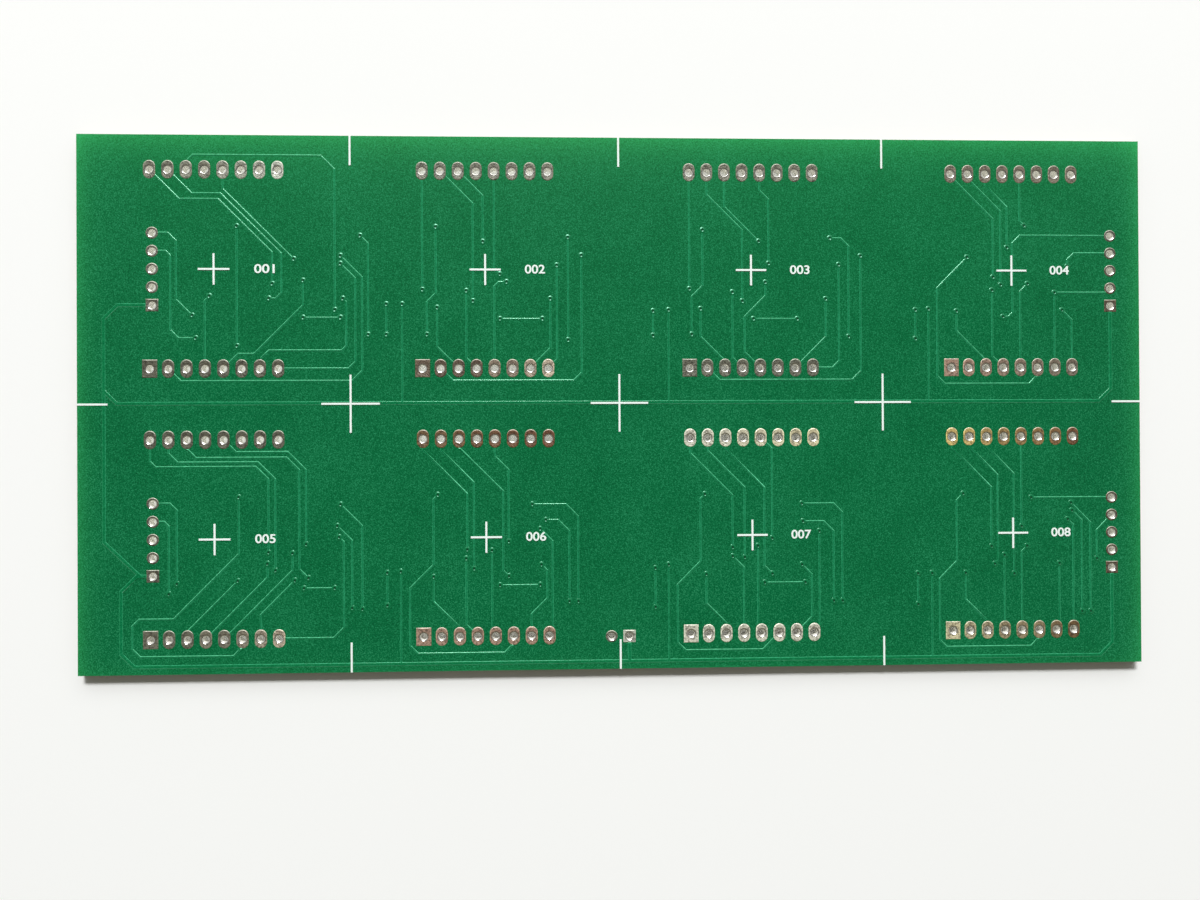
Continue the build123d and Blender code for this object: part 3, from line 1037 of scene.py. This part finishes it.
def grown(name, tree, inputs, start=None):
    """A plain object with the mesh that a geometry tree gives for its inputs."""
    piece = new_object(name, start or bpy.data.meshes.new(name))
    modifier = piece.modifiers.new(name, "NODES")
    modifier.node_group = tree
    for item in tree.interface.items_tree:
        if item.in_out == "INPUT" and item.name in inputs:
            modifier[item.identifier] = inputs[item.name]
    graph = bpy.context.evaluated_depsgraph_get()
    mesh = bpy.data.meshes.new_from_object(piece.evaluated_get(graph), depsgraph=graph)
    piece.modifiers.remove(modifier)
    piece.data = mesh
    return piece


def helper(mesh):
    """An object that a tree copies from and that is removed afterwards."""
    return new_object(mesh.name, mesh)


# Operators, one for each group of like pieces and one for the stage


class BOARD_OT_mask(bpy.types.Operator):
    """Finish the laminate: green mask on its faces, bare glass fibre round its edge"""

    bl_idname = "board.mask"
    bl_label = "Mask"

    def execute(self, context):
        repaint("board", board_finish(context.scene.board_mask))
        return {"FINISHED"}


class BOARD_OT_tracks(bpy.types.Operator):
    """Make the tracks as soft ridges of mask over copper"""

    bl_idname = "board.tracks"
    bl_label = "Tracks"

    def execute(self, context):
        scene = context.scene
        tracks = scene.board_tracks
        wide = track_finish(scene.board_mask, tracks, True)
        narrow = track_finish(scene.board_mask, tracks, False)
        pieces = {"supply_tracks": (wide, tracks.wide_slope, 0.5)}
        pieces |= {f"module_{module}_tracks": (narrow, tracks.slope, 0.4) for module in MODULES}
        for node, (material, slope, roundness) in pieces.items():
            mesh = rounded_copy(node, slope, 0.96 * COPPER, roundness=roundness, shortest=0.3 * MM)
            dress(new_object(f"{node}_under_mask", mesh), material, "masked_track", node)
        return {"FINISHED"}


class BOARD_OT_holes(bpy.types.Operator):
    """Make the rows of plated holes with their oval, round and square lands"""

    bl_idname = "board.holes"
    bl_label = "Plated holes"

    def execute(self, context):
        holes = context.scene.board_holes
        sides = holes.sides
        outlines = {
            "oval_hole": stadium(*holes.oval, sides),
            "first_hole": rectangle(*holes.first, sides),
            "round_hole": stadium(holes.round_land, holes.round_land, sides),
            "square_hole": rectangle(holes.square_land, holes.square_land, sides),
        }
        kinds = [helper(plated_hole(name, outline, holes)) for name, outline in outlines.items()]
        material = tin_finish()
        tree = hole_row_tree()
        for number, (node, count, down, hole, end, end_number) in enumerate(self.rows(*kinds)):
            first_tone, last_tone, bend = ROW_TONES[node]
            inputs = {
                "Count": count,
                "First": self.first_place(node, down, hole if end_number else end, holes),
                "Step": Vector((0.0, -holes.pitch, 0.0)) if down else Vector((holes.pitch, 0.0, 0.0)),
                "Hole": hole,
                "End hole": end,
                "End number": end_number,
                "First tone": (*first_tone, 1.0),
                "Last tone": (*last_tone, 1.0),
                "Bend": bend,
                "Seed": holes.seed + number,
                "Material": material,
            }
            piece = grown(node.replace("_holes", "_plated_holes"), tree, inputs)
            dress(piece, material, "tinned_copper", node)
        for kind in kinds:
            bpy.data.objects.remove(kind)
        return {"FINISHED"}

    def rows(self, oval, first, disc, square):
        """Each row's node, number of holes, whether it runs towards the near edge, its kind of hole,
        the kind at one end, and which hole of the row that is."""
        rows = []
        for module in MODULES:
            rows.append((f"module_{module}_upper_holes", PINS_PER_ROW, False, oval, oval, 0))
            rows.append((f"module_{module}_lower_holes", PINS_PER_ROW, False, oval, first, 0))
        for name in ("left_upper", "left_lower", "right_upper", "right_lower"):
            rows.append((f"{name}_header_holes", HEADER_PINS, True, disc, square, HEADER_PINS - 1))
        rows.append(("power_header_holes", POWER_PINS, False, disc, square, POWER_PINS - 1))
        return rows

    def first_place(self, node, down, hole, holes):
        """The middle of a row's first hole, from the row's box and how far that hole reaches."""
        low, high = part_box(node)
        if down:
            return Vector(((low[0] + high[0]) / 2, high[1] - holes.round_land / 2, 0.0))
        reach = min(vertex.co.x for vertex in hole.data.vertices)
        return Vector((low[0] - reach, (low[1] + high[1]) / 2, 0.0))


class BOARD_OT_vias(bpy.types.Operator):
    """Make the tented vias, each a low ring with a dimple"""

    bl_idname = "board.vias"
    bl_label = "Vias"

    def execute(self, context):
        scene = context.scene
        vias = scene.board_vias
        start = bpy.data.meshes.new("via_places")
        start.from_pydata([(place.x, place.y, FRONT) for place in solid_middles("vias")], [], [])
        dome = helper(via_dome(vias))
        material = via_finish(scene.board_tracks)
        inputs = {"Via": dome, "Spread": vias.spread, "Seed": vias.seed, "Material": material}
        piece = grown("tented_vias", via_tree(), inputs, start)
        dress(piece, material, "masked_track", "vias")
        bpy.data.objects.remove(dome)
        return {"FINISHED"}


class BOARD_OT_legend(bpy.types.Operator):
    """Print the white crosses and the plain numbers of the modules' places"""

    bl_idname = "board.legend"
    bl_label = "Legend"

    def execute(self, context):
        legend = context.scene.board_legend
        material = ink_finish(legend)
        for node in ("module_crosses", "corner_marks"):
            mesh = rounded_copy(node, legend.edge, 0.6 * legend.thickness, segments=2)
            dress(new_object(f"{node}_in_ink", mesh), material, "white_ink", node)
        for module in MODULES:
            self.number(module, legend, material)
        return {"FINISHED"}

    def number(self, module, legend, material):
        """One plain number beside a module's cross, thick enough to cover the tracks under it."""
        rise = (COPPER + legend.thickness) / 2
        curve = bpy.data.curves.new(f"number_{module:02d}", "FONT")
        curve.body = f"{module:03d}"
        curve.size = legend.digit_height / 0.72  # a digit's height is 0.72 of the font's size
        curve.align_x = "CENTER"
        curve.align_y = "CENTER"
        curve.extrude = rise
        curve.offset = legend.weight
        lettering = new_object(curve.name, curve)
        graph = bpy.context.evaluated_depsgraph_get()
        mesh = bpy.data.meshes.new_from_object(lettering.evaluated_get(graph), depsgraph=graph)
        bpy.data.objects.remove(lettering)
        centre = module_centre(module)
        place = Vector((centre.x + legend.digit_offset, centre.y, FRONT + rise))
        across = [vertex.co.x for vertex in mesh.vertices]
        stretch = legend.digit_width / (max(across) - min(across))
        centred = (max(across) + min(across)) / 2
        for vertex in mesh.vertices:
            vertex.co.x = (vertex.co.x - centred) * stretch
            vertex.co += place
        dress(new_object(f"number_{module:02d}", mesh), material, "white_ink")


class BOARD_OT_back(bpy.types.Operator):
    """Finish the bare lands on the back"""

    bl_idname = "board.back"
    bl_label = "Back lands"

    def execute(self, context):
        material = land_finish()
        for module in MODULES:
            repaint(f"driver_{module}_lands", material)
        return {"FINISHED"}


class BOARD_OT_stage(bpy.types.Operator):
    """Set up the pale floor, the soft lights and the camera"""

    bl_idname = "board.stage"
    bl_label = "Stage"

    def execute(self, context):
        stage = context.scene.board_stage
        context.scene.view_settings.view_transform = "Standard"
        self.floor(stage)
        self.sky(context.scene)
        self.lights(stage)
        self.camera(context.scene, stage)
        return {"FINISHED"}

    def floor(self, stage):
        """A wide sheet of pale paper, just below the board."""
        reach = 4.0

        def fill(shape):
            corners = [(-reach, -reach), (reach, -reach), (reach, reach), (-reach, reach)]
            shape.faces.new([shape.verts.new((x, y, -0.01 * MM)) for x, y in corners])

        floor = new_object("floor", mesh_of("floor", fill, smooth=False))
        floor.data.materials.append(paper_finish(stage))

    def sky(self, scene):
        """A room that is pale on the far side, dim and warm on the near side, and dark overhead."""
        scene.world = bpy.data.worlds.new("room")
        scene.world.use_nodes = True
        room = Nodes(scene.world.node_tree, "BACKGROUND")
        towards = room.node("ShaderNodeTexCoord", {}, output="Generated")
        far = room.node("ShaderNodeSeparateXYZ", {}, towards, output=1)
        height = room.node("ShaderNodeSeparateXYZ", {}, towards, output=2)
        low = 1 - height.ramp(0.35, 0.9)
        colour = room.blend(far.ramp(-0.6, 0.5), ROOM_NEAR, ROOM_FAR)
        colour = room.blend(low, ROOM_TOP, colour)
        room.feed(room.shader.inputs["Color"], colour)

    def lights(self, stage):
        """A narrow light beyond the far edge, and a wide one below and behind it."""
        self.panel("lamp", stage.lamp, (0.7, 0.38), (-0.16, 1.63, 1.79))
        self.panel("window", stage.window, (3.2, 1.0), (0.2, 2.2, 1.32))

    def panel(self, name, power, size, place):
        """A rectangular light that faces the board."""
        light = bpy.data.lights.new(name, "AREA")
        light.shape = "RECTANGLE"
        light.size, light.size_y = size
        light.energy = power
        made = new_object(name, light)
        made.location = place
        made.rotation_euler = (-made.location).to_track_quat("-Z", "Y").to_euler()

    def camera(self, scene, stage):
        """Nearly straight above, a little left of the middle, and level with the board's long edge."""
        camera = bpy.data.cameras.new("camera")
        camera.sensor_width = 36.0
        camera.lens = stage.camera_lens
        camera.clip_start = 1 * MM
        camera.clip_end = 10.0
        made = new_object("camera", camera)
        made.location = (*CAMERA_PLACE, FRONT + stage.camera_height)
        look = (Vector((*CAMERA_AIM, FRONT)) - made.location).normalized()
        right = look.cross(Vector((CAMERA_LEAN, 1.0, 0.0))).normalized()
        matrix = Matrix((right, right.cross(look), -look)).transposed()
        made.rotation_euler = matrix.to_euler()
        scene.camera = made


class BOARD_PT_panel(bpy.types.Panel):
    """The board's steps, in the sidebar."""

    bl_idname = "BOARD_PT_panel"
    bl_label = "Circuit board"
    bl_space_type = "VIEW_3D"
    bl_region_type = "UI"
    bl_category = "Circuit board"

    def draw(self, context):
        for name, settings in SETTINGS.items():
            box = self.layout.box()
            box.label(text=settings.__doc__)
            for key in settings.__annotations__:
                box.prop(getattr(context.scene, name), key)
        for operator in OPERATORS:
            self.layout.operator(operator.bl_idname)


OPERATORS = (
    BOARD_OT_mask,
    BOARD_OT_tracks,
    BOARD_OT_holes,
    BOARD_OT_vias,
    BOARD_OT_legend,
    BOARD_OT_back,
    BOARD_OT_stage,
)


def register():
    for kind in (*SETTINGS.values(), *OPERATORS, BOARD_PT_panel):
        bpy.utils.register_class(kind)
    for name, settings in SETTINGS.items():
        setattr(bpy.types.Scene, name, PointerProperty(type=settings))


def unregister():
    for name in SETTINGS:
        delattr(bpy.types.Scene, name)
    for kind in (BOARD_PT_panel, *reversed(OPERATORS), *SETTINGS.values()):
        bpy.utils.unregister_class(kind)


def main():
    register()
    for operator in OPERATORS:
        group, name = operator.bl_idname.split(".")
        getattr(getattr(bpy.ops, group), name)()


if __name__ == "__main__":
    main()
